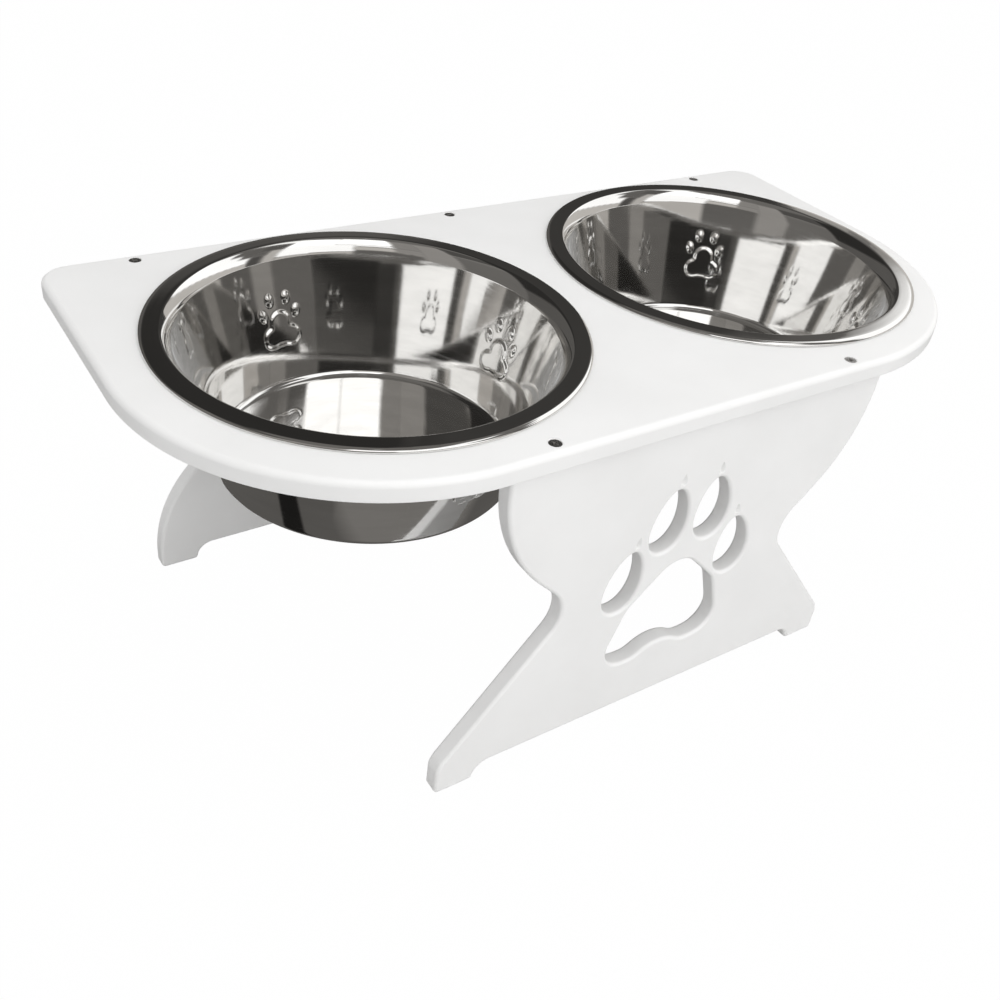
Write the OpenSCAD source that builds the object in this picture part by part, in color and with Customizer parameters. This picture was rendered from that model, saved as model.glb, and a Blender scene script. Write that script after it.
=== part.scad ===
// Raised dog feeder stand: a sheet plastic table on two cut leg panels,
// with two drawn steel bowls that hang in round holes.
// Millimetres, +Z up, origin on the floor under the middle of the table.

/* [Table top] */
// Length of the top, left to right
top_length = 610; // [560:1:680]
// Depth of the top, front to back
top_depth = 305; // [290:1:340]
// Height of the table surface above the floor
top_height = 257; // [220:1:320]
// Thickness of the plastic sheet
sheet_t = 12.7; // [10:0.1:16]
// Radius of the two large front corners
front_corner_r = 160; // [120:1:200]
// Radius of the two back corners
back_corner_r = 20; // [10:1:40]
// Middle of the bowls and leg panels, right of the top's middle
row_shift = 6; // [0:0.5:8]
// Roundover on the top's upper edge
top_round = 4; // [2:0.5:6]
// Roundover on the top's lower edge
under_round = 1; // [0.5:0.5:3]

/* [Bowls] */
// Distance between the two bowl centres
bowl_pitch = 297; // [290:1:300]
// Bowl centres behind the middle of the top
bowl_back = 8.5; // [0:0.5:14]
// Outer diameter of the rolled rim
rim_d = 274; // [270:1:280]
// Width of the rim from its outer edge to where the neck starts
rim_width = 7.5; // [6.5:0.5:10]
// Width over which the rim's top falls to its outer edge
rim_crown = 3.5; // [2:0.5:5]
// Height of the rim above the table
rim_rise = 2.7; // [2.2:0.1:4]
// Width of the rim's rolled edge where it rests on the table, less its round
rim_land = 0.8; // [0.4:0.1:2]
// Radius of the neck from the flat rim into the wall
neck_r = 14; // [9:0.5:15]
// Depth of a bowl from the rim to its underside
bowl_depth = 96; // [75:1:115]
// Radius of the flat bowl floor
floor_r = 95; // [80:1:98]
// Radius of the curve from floor to wall
floor_curve_r = 8; // [5:1:20]
// Thickness of the steel sheet
steel_t = 0.9; // [0.6:0.1:1.2]
// Clearance round a bowl's neck in its hole
bowl_clearance = 2; // [0.8:0.1:4]

/* [Front leg panel] */
// Set-back of the front panel from the top's front edge
front_inset = 3; // [1:0.5:8]
// Half width at the shoulder under the top
front_shoulder = 147; // [120:1:170]
// Half width across the feet
front_foot = 175; // [160:1:200]

/* [Rear leg panel] */
// Set-back of the rear panel from the top's back edge
rear_inset = 2; // [1:0.5:8]
// Inset of the panel's upper ends from the ends of a centred top
rear_end_inset = 17; // [14:1:24]
// Inset of its feet from the ends of a centred top
rear_foot_inset = 50; // [48:1:60]

/* [Leg panel form] */
// Radius of the round shoulder
shoulder_r = 109; // [90:1:120]
// Straight run at the panel's end before the round shoulder starts
shoulder_drop = 9; // [4:1:14]
// Radius of the waist
waist_r = 25; // [15:1:35]
// Slope of the shoulder where it meets the waist, degrees
shoulder_slope = 45; // [40:1:50]
// Length of the straight run between shoulder and waist
waist_run = 18; // [5:1:30]
// Slope of the straight flare below the waist, degrees
flare_slope = 50; // [47:1:56]
// Radius of the outer end of the flare
flare_end_r = 18; // [10:1:24]
// Width of a foot on the floor
foot_w = 28.5; // [20:0.5:40]
// Height of the recess between the feet
recess_h = 12.5; // [8:0.5:20]
// Roundover on the leg panels' edges
leg_round = 2.5; // [1:0.5:3]

/* [Paw cut-out] */
// Height of the paw's pad centre above the floor
paw_z = 95; // [88:1:110]
// Height of the pad
pad_h = 80; // [70:1:86]
// Width of the pad across its lower lobes
pad_w = 96; // [84:1:104]
// Radius of the pad's upper end
pad_apex_r = 20; // [14:1:26]
// Radius of the pad's lower lobes
pad_lobe_r = 17; // [12:1:20]
// Radius of the pad's round sides
pad_cheek_r = 21; // [16:1:24]
// Centre of the round sides from the middle
pad_cheek_x = 19; // [14:1:22]
// Height of the wave in the pad's lower edge
pad_wave = 8; // [4:1:12]
// Radius of that wave
pad_wave_r = 32; // [24:1:50]
// Rounding of the pad's corners
pad_soft = 4; // [2:0.5:6]
// Height of a toe hole
toe_h = 49; // [40:1:54]
// Width of a toe hole
toe_w = 28.5; // [24:0.5:32]
// How much a toe narrows toward its tip
toe_taper = 0.2; // [0:0.05:0.3]
// Centre of an inner toe from the middle
inner_toe_x = 18; // [17:0.5:22]
// Centre of an inner toe above the pad centre
inner_toe_z = 78; // [74:1:84]
// Lean of an inner toe, degrees
inner_toe_lean = 4; // [0:1:8]
// Centre of an outer toe from the middle
outer_toe_x = 46.5; // [44:0.5:50]
// Centre of an outer toe above the pad centre
outer_toe_z = 37.5; // [34:0.5:42]
// Lean of an outer toe, degrees
outer_toe_lean = 8; // [0:1:12]
// Distance from a toe hole to its carved claw
claw_gap = 3; // [2.5:0.5:5]
// Length of a claw
claw_len = 10; // [7:0.5:14]
// Width of a claw's round lower end
claw_w = 5.4; // [4:0.2:7]

/* [Screws] */
// Front screws from the panel's middle
front_screw_x = 117; // [90:1:125]
// Left rear screw from the rear panel's left end
rear_screw_left = 38; // [24:1:60]
// Rear middle screw, left of the panel's middle
rear_screw_mid = 13; // [0:1:30]
// Right rear screw from the rear panel's right end
rear_screw_right = 55; // [24:1:60]
// Diameter of the screw over its thread
screw_d = 4.2; // [3.5:0.1:5]
// Length of a screw with its head
screw_len = 44; // [32:1:60]
// Diameter of the countersunk head
head_d = 8; // [7.2:0.1:9]
// How far a head sits below the table surface
head_sink = 0.4; // [0.2:0.1:1]
// Width of the cross recess in a head
recess_w = 4.6; // [3.5:0.1:5]
// Width of the recess's slots
slot_w = 1.1; // [0.8:0.1:1.5]
// Length of the pointed tip
tip_len = 6; // [3:0.5:10]
// Clearance round the screw in the top
screw_clearance = 0.3; // [0.2:0.1:0.6]
// Depth that the thread bites into the leg's pilot hole, on the diameter
thread_bite = 0.8; // [0.4:0.1:1]

/* [Hidden] */
$fn = 96;

leg_h = top_height - sheet_t;
half_l = top_length / 2;
half_d = top_depth / 2;
bowl_x = bowl_pitch / 2;
rim_r = rim_d / 2;
mouth_r = rim_r - rim_width;
neck_x = mouth_r - sqrt(pow(neck_r - steel_t, 2) - pow(neck_r - rim_rise, 2));
hole_r = neck_x + bowl_clearance;
front_y = -half_d + front_inset + sheet_t / 2;
rear_y = half_d - rear_inset - sheet_t / 2;
rear_end = half_l - rear_end_inset;
rear_foot = half_l - rear_foot_inset;
rear_left_x = rear_screw_left - rear_end;
rear_right_x = rear_end - rear_screw_right;
head_h = (head_d - screw_d) / 2;
pilot_d = screw_d - thread_bite;
eps = 0.01;

plastic = "whitesmoke";
steel = "silver";

// Points along an arc, from one angle to another
function arc(c, r, a0, a1, n = 12) =
    [for (i = [0:n]) c + r * [cos(a0 + (a1 - a0) * i / n), sin(a0 + (a1 - a0) * i / n)]];

// Mirror of a list of points across the vertical axis, in reverse order
function mirrored(p) = [for (i = [len(p) - 1:-1:0]) [-p[i][0], p[i][1]]];

// Table top

// Outline of the sheet's edge: a strip that reaches out to x = reach
module sheet_edge(reach) {
    polygon(concat([[0, 0]],
        arc([reach - under_round, under_round], under_round, -90, 0, 3),
        arc([reach - top_round, sheet_t - top_round], top_round, 0, 90, 6),
        [[0, sheet_t]]));
}

// Quarter of a round corner, turned to start at an angle
module sheet_corner(x, y, r, start) {
    translate([x, y, 0]) rotate([0, 0, start]) rotate_extrude(angle = 90) sheet_edge(r);
}

// Straight piece of the sheet with its rounded edge toward +X, run along Y
module sheet_run(reach, run) {
    rotate([90, 0, 0]) translate([0, 0, -run]) linear_extrude(run) sheet_edge(reach);
}

module sheet_blank() {
    fx = half_l - front_corner_r;
    fy = -half_d + front_corner_r;
    bx = half_l - back_corner_r;
    by = half_d - back_corner_r;
    sheet_corner(fx, fy, front_corner_r, -90);
    sheet_corner(-fx, fy, front_corner_r, 180);
    sheet_corner(bx, by, back_corner_r, 0);
    sheet_corner(-bx, by, back_corner_r, 90);
    translate([0, fy, 0]) sheet_run(half_l, by - fy);
    translate([0, by, 0]) rotate([0, 0, 180]) sheet_run(half_l, by - fy);
    translate([-fx, fy, 0]) rotate([0, 0, -90]) sheet_run(front_corner_r, 2 * fx);
    translate([bx, by, 0]) rotate([0, 0, 90]) sheet_run(back_corner_r, 2 * bx);
}

module top_panel() {
    color(plastic) difference() {
        translate([0, 0, leg_h]) sheet_blank();
        for (s = [-1, 1])
            translate([row_shift + s * bowl_x, bowl_back, leg_h - 1]) cylinder(h = sheet_t + 2, r = hole_r, $fn = 128);
        at_screws() screw_hole();
    }
}

// Leg panels

// Right side of a panel, from its round shoulder at z = 0 through the waist
// and along the flare to its end at z = height
function panel_side(height, shoulder, flare) = let (
    c1 = [shoulder - shoulder_r, shoulder_drop],
    p1 = c1 + shoulder_r * [cos(shoulder_slope), sin(shoulder_slope)],
    p2 = p1 + waist_run * [-sin(shoulder_slope), cos(shoulder_slope)],
    c2 = p2 + waist_r * [cos(shoulder_slope), sin(shoulder_slope)],
    n3 = [sin(flare_slope), -cos(flare_slope)],
    p3 = c2 - waist_r * n3,
    x4 = flare - flare_end_r,
    z4 = p3[1] + (n3 * [x4 - p3[0], 0] + flare_end_r) / cos(flare_slope))
    concat([[shoulder, 0]], arc(c1, shoulder_r, 0, shoulder_slope, 14),
        arc(c2, waist_r, 180 + shoulder_slope, 90 + flare_slope, 12),
        arc([x4, min(z4, height)], flare_end_r, flare_slope - 90, 0, 6),
        [[flare, height]]);

// Full outline from a right side
module panel_blank(side) {
    polygon(concat(side, mirrored(side)));
}

// Recess under a panel with round upper corners, between feet
module foot_recess(foot) {
    w = foot - foot_w;
    half = concat([[w, -eps]], arc([w - recess_h, 0], recess_h, 0, 90, 8));
    polygon(concat(half, mirrored(half)));
}

// Egg-shaped toe, narrower at the top
module toe() {
    polygon([for (a = [0:15:345])
        [toe_w / 2 * cos(a) * (1 - toe_taper * sin(a)), toe_h / 2 * sin(a)]]);
}

module at_toes() {
    for (s = [-1, 1]) {
        translate([s * inner_toe_x, paw_z + inner_toe_z]) rotate(s * inner_toe_lean) children();
        translate([s * outer_toe_x, paw_z + outer_toe_z]) rotate(s * outer_toe_lean) children();
    }
}

// Rounded three-cornered pad with a wavy lower edge
module pad() {
    translate([0, paw_z]) offset(r = pad_soft) offset(delta = -pad_soft) difference() {
        hull() {
            translate([0, pad_h / 2 - pad_apex_r]) circle(pad_apex_r, $fn = 32);
            for (s = [-1, 1]) {
                translate([s * (pad_w / 2 - pad_lobe_r), -pad_h / 2 + pad_lobe_r]) circle(pad_lobe_r, $fn = 32);
                translate([s * pad_cheek_x, 0]) circle(pad_cheek_r, $fn = 32);
            }
        }
        translate([0, -pad_h / 2 + pad_wave - pad_wave_r]) circle(pad_wave_r, $fn = 64);
    }
}

// Claw carved into the front face above each toe: round below, pointed above
module claws() {
    r = claw_w / 2;
    translate([0, 0, sheet_t / 2]) at_toes() translate([0, toe_h / 2 + claw_gap + r, 0])
        rotate([-90, 0, 0]) rotate_extrude($fn = 32)
            polygon(concat(arc([0, 0], r, -90, 0, 6), [[0, claw_len - r]]));
}

module rounded_panel() {
    minkowski() {
        rotate([90, 0, 0]) linear_extrude(sheet_t - 2 * leg_round, center = true)
            offset(delta = -leg_round) children();
        hull() rotate([90, 0, 0]) rotate_extrude($fn = 12)
            polygon(arc([0, 0], leg_round, -90, 90, 4));
    }
}

module front_leg_panel() {
    side = [for (p = panel_side(leg_h, front_shoulder, front_foot)) [p[0], leg_h - p[1]]];
    color(plastic) difference() {
        translate([row_shift, front_y, 0]) rounded_panel() difference() {
            panel_blank(side);
            foot_recess(front_foot);
            at_toes() toe();
            pad();
        }
        translate([row_shift, front_y, 0]) rotate([90, 0, 0]) claws();
        at_screws() pilot_hole();
    }
}

module rear_leg_panel() {
    side = panel_side(leg_h, rear_foot, rear_end);
    color(plastic) difference() {
        translate([row_shift, rear_y, 0]) rounded_panel() difference() {
            panel_blank(side);
            foot_recess(rear_foot);
        }
        at_screws() pilot_hole();
    }
}

// Bowls

// Half section of the drawn sheet, from the axis along the floor and up the wall
// to the neck; z = 0 is the top of the rim, out = 0 is the inside of the sheet
function bowl_skin(out) = let (
    low = [floor_r, -bowl_depth + floor_curve_r],
    low_r = floor_curve_r - steel_t,
    neck = [mouth_r, -neck_r],
    run = neck - low,
    lean = atan2(run[1], run[0]) - acos((low_r + neck_r) / norm(run)))
    concat([[0, low[1] - low_r - out]],
        arc(low, low_r + out, -90, lean, 8),
        arc(neck, neck_r - out, 180 + lean, 90, 9));

module bowl() {
    inside = bowl_skin(0);
    roll_r = rim_rise / 2;
    land_x = rim_r - roll_r - rim_land;
    rotate_extrude($fn = 128) polygon(concat(
        bowl_skin(steel_t),
        [[land_x, -steel_t], [land_x, -rim_rise]],
        arc([rim_r - roll_r, -roll_r], roll_r, -90, 0, 4),
        [for (a = [15:15:90]) [rim_r - rim_crown * (1 - cos(a)), -roll_r * (1 - sin(a))]],
        [for (i = [len(inside) - 1:-1:0]) inside[i]]));
}

module left_bowl() {
    color(steel) translate([row_shift - bowl_x, bowl_back, top_height + rim_rise]) bowl();
}

module right_bowl() {
    color(steel) translate([row_shift + bowl_x, bowl_back, top_height + rim_rise]) bowl();
}

// Screws

module at_screws() {
    for (p = [[-front_screw_x, front_y], [front_screw_x, front_y],
            [rear_left_x, rear_y], [-rear_screw_mid, rear_y], [rear_right_x, rear_y]])
        translate([row_shift + p[0], p[1], top_height]) children();
}

// Clearance hole and countersink in the top
module screw_hole() {
    r = screw_d / 2 + screw_clearance;
    rh = head_d / 2 + screw_clearance;
    translate([0, 0, -sheet_t - 1]) cylinder(h = sheet_t + 1 + eps, r = r, $fn = 48);
    translate([0, 0, -head_sink - head_h]) cylinder(h = head_h, r1 = r, r2 = rh, $fn = 48);
    translate([0, 0, -head_sink - eps]) cylinder(h = head_sink + 1, r = rh, $fn = 48);
}

// Pilot hole that the thread cuts into
module pilot_hole() {
    translate([0, 0, -screw_len - head_sink - 1]) cylinder(h = screw_len, r = pilot_d / 2, $fn = 48);
}

module screw(x, y) {
    color(steel) translate([row_shift + x, y, top_height - head_sink]) difference() {
        union() {
            translate([0, 0, -head_h]) cylinder(h = head_h, r1 = screw_d / 2, r2 = head_d / 2, $fn = 48);
            translate([0, 0, -screw_len + tip_len])
                cylinder(h = screw_len - tip_len - head_h, r = screw_d / 2, $fn = 48);
            translate([0, 0, -screw_len]) cylinder(h = tip_len, r1 = screw_d / 8, r2 = screw_d / 2, $fn = 48);
        }
        for (a = [0, 90])
            rotate(a) translate([0, 0, -head_h / 2 + eps]) cube([recess_w, slot_w, head_h], center = true);
    }
}

module screw_front_left() { screw(-front_screw_x, front_y); }
module screw_front_right() { screw(front_screw_x, front_y); }
module screw_rear_left() { screw(rear_left_x, rear_y); }
module screw_rear_middle() { screw(-rear_screw_mid, rear_y); }
module screw_rear_right() { screw(rear_right_x, rear_y); }

top_panel();
front_leg_panel();
rear_leg_panel();
left_bowl();
right_bowl();
screw_front_left();
screw_front_right();
screw_rear_left();
screw_rear_middle();
screw_rear_right();
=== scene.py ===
"""Raised dog feeder stand: three cut plastic sheets, five screws and two drawn steel bowls."""

import math

import bpy
import numpy as np
from mathutils import Matrix, Vector
from mathutils.geometry import convex_hull_2d, delaunay_2d_cdt


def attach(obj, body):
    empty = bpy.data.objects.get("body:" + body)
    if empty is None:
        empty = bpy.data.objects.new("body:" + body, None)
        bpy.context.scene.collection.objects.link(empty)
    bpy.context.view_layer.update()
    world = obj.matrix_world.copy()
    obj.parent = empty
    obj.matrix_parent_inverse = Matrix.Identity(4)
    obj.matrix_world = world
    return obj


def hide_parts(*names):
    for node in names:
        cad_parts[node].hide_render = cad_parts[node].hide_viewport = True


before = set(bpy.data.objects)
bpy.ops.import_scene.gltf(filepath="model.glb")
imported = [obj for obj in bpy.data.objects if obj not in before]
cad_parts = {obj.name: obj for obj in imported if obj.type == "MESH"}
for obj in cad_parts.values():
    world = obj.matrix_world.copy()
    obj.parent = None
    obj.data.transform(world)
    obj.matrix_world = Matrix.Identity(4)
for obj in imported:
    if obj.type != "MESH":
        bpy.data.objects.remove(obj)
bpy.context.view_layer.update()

MM = 0.001
TINY = 1e-6

# Sheets, in millimetres as in the part's source

SHEET = 12.7
TOP_Z = 257.0
LEG_H = TOP_Z - SHEET
TOP_HALF_L, TOP_HALF_D = 305.0, 152.5
FRONT_CORNER, BACK_CORNER = 160.0, 20.0
TOP_ROUND, UNDER_ROUND = 4.0, 1.0
HOLE_R, HOLE_UNDER_ROUND, HOLE_TOP_ROUND = 124.873, 0.4, 0.6

# Middle of the bowls and leg panels, right of the top's middle
ROW_X = 6.0
BOWL_X, BOWL_Y = 148.5, 8.5

FRONT_BACK_Y, REAR_BACK_Y = -136.8, 150.5
FRONT_SHOULDER, FRONT_FOOT = 147.0, 175.0
REAR_END, REAR_FOOT = 288.0, 255.0
SHOULDER_R, SHOULDER_DROP, SHOULDER_SLOPE = 109.0, 9.0, 45.0
WAIST_R, WAIST_RUN = 25.0, 18.0
FLARE_SLOPE, FLARE_END = 50.0, 18.0
FOOT_W, RECESS_H, RECESS_START = 28.5, 12.5, 17.0
LEG_ROUND = 2.5

# A corner is cut round where the outline turns by more than this, in degrees
SHARP_TURN = 35.0
CORNER_ROUND = LEG_ROUND + 0.6
TOP_STEP, LEG_STEP = 12.0, 10.0

# Paw cut-out in the front leg panel; each toe's place and lean

PAW_Z = 95.0
PAD_H, PAD_W, PAD_APEX, PAD_LOBE = 80.0, 96.0, 20.0, 17.0
PAD_CHEEK, PAD_CHEEK_X, PAD_WAVE, PAD_WAVE_R = 21.0, 19.0, 8.0, 32.0
PAD_STEP, PAD_SMOOTHINGS = 2, 3
TOE_H, TOE_W, TOE_TAPER, TOE_STEP = 49.0, 28.5, 0.2, 5
TOES = ((-46.5, 37.5, -8.0), (-18.0, 78.0, -4.0), (18.0, 78.0, 4.0), (46.5, 37.5, 8.0))
CLAW_GAP, CLAW_LEN, CLAW_W, CLAW_DEPTH = 3.0, 10.0, 5.4, 2.2
CLAW_WIDEST, CLAW_POINT, CLAW_SCOOP = 0.3, 1.4, 1.5

# Screws, with each one's place and the turn of its cross recess

SCREW_D, SCREW_LEN, SCREW_HEAD, HEAD_SINK = 4.2, 44.0, 8.0, 0.4
SCREW_CLEAR, HOLE_BREAK = 0.3, 0.15
LIP_IN, LIP_DROP, LIP_NORMAL = 0.25, 0.22, (0.75, 0.66)
THREAD_PITCH, THREAD_DEPTH, THREAD_START = 1.8, 0.55, 4.0
THREAD_STEP, CREST_HALF = 0.3, 0.28
TIP_LEN, TIP_BLUNT, TIP_GAP = 6.0, 0.08, 0.2
CROSS_MOUTH, CROSS_FLOOR = (4.6, 1.15), (2.6, 0.8)
CROSS_DEPTH, CROSS_TILT = 1.7, 0.35
FRONT_Y, REAR_Y = -143.15, 144.15
SCREWS = {
    "screw_front_left": (ROW_X - 117.0, FRONT_Y, 20.0),
    "screw_front_right": (ROW_X + 117.0, FRONT_Y, 62.0),
    "screw_rear_left": (ROW_X - 250.0, REAR_Y, 38.0),
    "screw_rear_middle": (ROW_X - 13.0, REAR_Y, 5.0),
    "screw_rear_right": (ROW_X + 233.0, REAR_Y, 75.0),
}

# Bowls, in millimetres; the rim and the depth are as in the part's source

RIM_R, MOUTH_R, RIM_RISE = 137.0, 125.5, 2.7
RIM_CROWN, RIM_UNDER, RIM_LAND = 3.5, 0.6, 0.8
# A bend at the mouth runs into a wider neck, which meets the wall in a crease
BEND_R, BEND, NECK_R, CREASE = 2.5, 44.0, 21.0, 20.0
STEEL, BOWL_DEPTH = 0.9, 96.0
FLOOR_R, FLOOR_CURVE, FLOOR_DOME, FLOOR_MIDDLE = 94.0, 6.0, 0.6, 0.4
BOWL_SHARP = 50.0
# Points along each arc of the section, and height of the wall's rows
INSIDE_MESH, OUTSIDE_MESH = (22, 0.65), (16, 1.3)

# Embossed paws: place along the wall and below the rim, then each toe's lean or pad disc's radius
PAWS, PAW_TURN, PAW_GIRTH = 4, 90.0, 109.0
PAW_TOP, PAW_LOW, PAW_HALF = -27.0, -71.5, 19.5
PAW_TOES = ((-12.6, -44.3, 14), (-6.2, -34.6, 5), (6.2, -34.6, -5), (12.6, -44.3, -14))
PAW_PAD = ((0.0, -50.5, 7.2), (-7.4, -60.6, 6.4), (7.4, -60.6, 6.4), (0.0, -58.0, 8.0))
TOE_WIDE, TOE_TALL, TOE_LIFT, TOE_STEEP = 3.7, 5.5, 1.0, 1.15
PAD_LIFT, PAD_SLOPE, PAD_BLEND = 1.0, 3.0, 0.9
PAW_COLUMNS, PLAIN_COLUMNS = 57, 37

# Each bowl's place and the direction of its first paw
BOWLS = {"left_bowl": (ROW_X - BOWL_X, 97.5), "right_bowl": (ROW_X + BOWL_X, 52.5)}

# Outlines, as lists of points in millimetres


def heading(angle):
    """Unit vector at an angle in degrees."""
    return np.array([math.cos(math.radians(angle)), math.sin(math.radians(angle))])


def arc(cx, cy, r, start, end, count):
    angles = np.radians(np.linspace(start, end, count))
    return np.c_[cx + r * np.cos(angles), cy + r * np.sin(angles)]


def circle(cx, cy, r, count):
    return arc(cx, cy, r, 0, 360, count + 1)[:-1]


def mirrored(points):
    return points[::-1] * (-1, 1)


def area(points):
    x, y = points.T
    return 0.5 * np.sum(x * np.roll(y, -1) - np.roll(x, -1) * y)


def spaced(points, step):
    """The same closed outline with points at most one step apart."""
    out = []
    for a, b in zip(points, np.roll(points, -1, 0)):
        n = max(1, int(math.ceil(np.linalg.norm(b - a) / step)))
        out += [a + (b - a) * i / n for i in range(n)]
    return np.array(out)


def softened(points, r, count=7):
    """The outline with each sharp corner that points outward cut to a round."""
    out = []
    n = len(points)
    turn = math.copysign(1, area(points))
    for i in range(n):
        p, a, b = points[i], points[i - 1], points[(i + 1) % n]
        u, v = (a - p) / np.linalg.norm(a - p), (b - p) / np.linalg.norm(b - p)
        bend = math.degrees(math.acos(np.clip(-u @ v, -1, 1)))
        cross = turn * (v[1] * u[0] - v[0] * u[1])
        if bend < SHARP_TURN or cross > 0:
            out.append(p)
            continue
        half = math.radians(180 - bend) / 2
        cut = r / math.tan(half)
        centre = p + (u + v) / np.linalg.norm(u + v) * r / math.sin(half)
        start, end = p + u * cut - centre, p + v * cut - centre
        a0 = math.atan2(start[1], start[0])
        a1 = a0 + math.remainder(math.atan2(end[1], end[0]) - a0, 2 * math.pi)
        out += list(arc(*centre, r, math.degrees(a0), math.degrees(a1), count))
    return np.array(out)


def top_outline():
    fx, fy = TOP_HALF_L - FRONT_CORNER, -TOP_HALF_D + FRONT_CORNER
    bx, by = TOP_HALF_L - BACK_CORNER, TOP_HALF_D - BACK_CORNER
    right = np.vstack([
        arc(fx, fy, FRONT_CORNER, -90, 0, count=61),
        arc(bx, by, BACK_CORNER, 0, 90, count=17)])
    return spaced(np.vstack([right, mirrored(right)]), TOP_STEP)


def panel_side(shoulder, flare):
    """Right side of a leg panel: round shoulder at v = 0, waist, then a straight flare."""
    slope, out = heading(SHOULDER_SLOPE), heading(FLARE_SLOPE)
    shoulder_mid = np.array([shoulder - SHOULDER_R, SHOULDER_DROP])
    waist_start = shoulder_mid + SHOULDER_R * slope + WAIST_RUN * np.array([-slope[1], slope[0]])
    waist_mid = waist_start + WAIST_R * slope
    facing = np.array([out[1], -out[0]])
    waist_end = waist_mid - WAIST_R * facing
    end_x = flare - FLARE_END
    end_z = waist_end[1] + (facing[0] * (end_x - waist_end[0]) + FLARE_END) / out[0]
    return np.vstack([
        [[shoulder, 0.0]],
        arc(*shoulder_mid, SHOULDER_R, 0, SHOULDER_SLOPE, count=28),
        arc(*waist_mid, WAIST_R, 180 + SHOULDER_SLOPE, 90 + FLARE_SLOPE, count=22),
        arc(end_x, end_z, FLARE_END, FLARE_SLOPE - 90, 0, count=14),
        [[flare, LEG_H]]])


def foot_notch(foot):
    """Left-to-right lower edge of a panel: foot, recess with round upper corners, foot."""
    w = foot - FOOT_W
    half = np.vstack([[[w, 0.0]], arc(w - RECESS_H, 0, RECESS_H, RECESS_START, 90, count=9)])
    return np.vstack([half * (-1, 1), half[::-1]])


def leg_outline(side, foot):
    """Full outline, counter-clockwise, from a right side that runs upward."""
    outline = np.vstack([foot_notch(foot), side, mirrored(side)])
    return spaced(softened(outline, CORNER_ROUND), LEG_STEP)


def leaned(x, z, lean, u, v):
    """Points u across and v along a toe, turned by its lean and put in its place."""
    c, s = heading(lean)
    return x + u * c - v * s, PAW_Z + z + u * s + v * c


def toe_outline(x, z, lean):
    a = np.radians(np.arange(0, 360, TOE_STEP))
    u = TOE_W / 2 * np.cos(a) * (1 - TOE_TAPER * np.sin(a))
    v = TOE_H / 2 * np.sin(a)
    return np.column_stack(leaned(x, z, lean, u, v))


def pad_outline():
    """Rounded three-cornered pad with a wavy lower edge, found along rays from its middle."""
    discs = [(0, PAD_H / 2 - PAD_APEX, PAD_APEX)]
    for s in (-1, 1):
        discs.append((s * (PAD_W / 2 - PAD_LOBE), -PAD_H / 2 + PAD_LOBE, PAD_LOBE))
        discs.append((s * PAD_CHEEK_X, 0, PAD_CHEEK))
    cloud = np.vstack([circle(*d, count=90) for d in discs])
    hull = cloud[convex_hull_2d([Vector(p) for p in cloud])]
    edge = np.roll(hull, -1, 0) - hull
    wave = np.array([0, -PAD_H / 2 + PAD_WAVE - PAD_WAVE_R])
    rays = np.array([heading(a) for a in range(0, 360, PAD_STEP)])
    reach = []
    for d in rays:
        side = d[0] * edge[:, 1] - d[1] * edge[:, 0]
        side[np.abs(side) < TINY * MM] = TINY * MM
        t = (hull[:, 0] * edge[:, 1] - hull[:, 1] * edge[:, 0]) / side
        s = (hull[:, 0] * d[1] - hull[:, 1] * d[0]) / side
        far = t[(t > 0) & (s >= -TINY) & (s <= 1 + TINY)].max()
        b = d @ wave
        inside = b * b - wave @ wave + PAD_WAVE_R ** 2
        if inside > 0 and b > 0:
            far = min(far, b - math.sqrt(inside))
        reach.append(far)
    reach = np.array(reach)
    for _ in range(PAD_SMOOTHINGS):
        reach = (np.roll(reach, 1) + 2 * reach + np.roll(reach, -1)) / 4
    return reach[:, None] * rays + (0, PAW_Z)


def within(points, outline):
    """Which points lie inside a closed outline."""
    inside = np.zeros(len(points), bool)
    for a, b in zip(outline, np.roll(outline, -1, 0)):
        cut = (a[1] > points[:, 1]) != (b[1] > points[:, 1])
        if cut.any():
            run = (points[:, 1] - a[1]) * (b[0] - a[0]) / (b[1] - a[1])
            inside ^= cut & (points[:, 0] < a[0] + run)
    return inside


# Mesh building


def in_scene(name, data):
    """Puts a mesh, a lamp or a camera into the scene as an object."""
    obj = bpy.data.objects.new(name, data)
    bpy.context.scene.collection.objects.link(obj)
    return obj


def smooth_mesh(name, verts, faces, material):
    mesh = bpy.data.meshes.new(name)
    mesh.from_pydata(verts, [], faces)
    mesh.polygons.foreach_set("use_smooth", [True] * len(mesh.polygons))
    mesh.materials.append(material)
    return mesh


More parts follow.
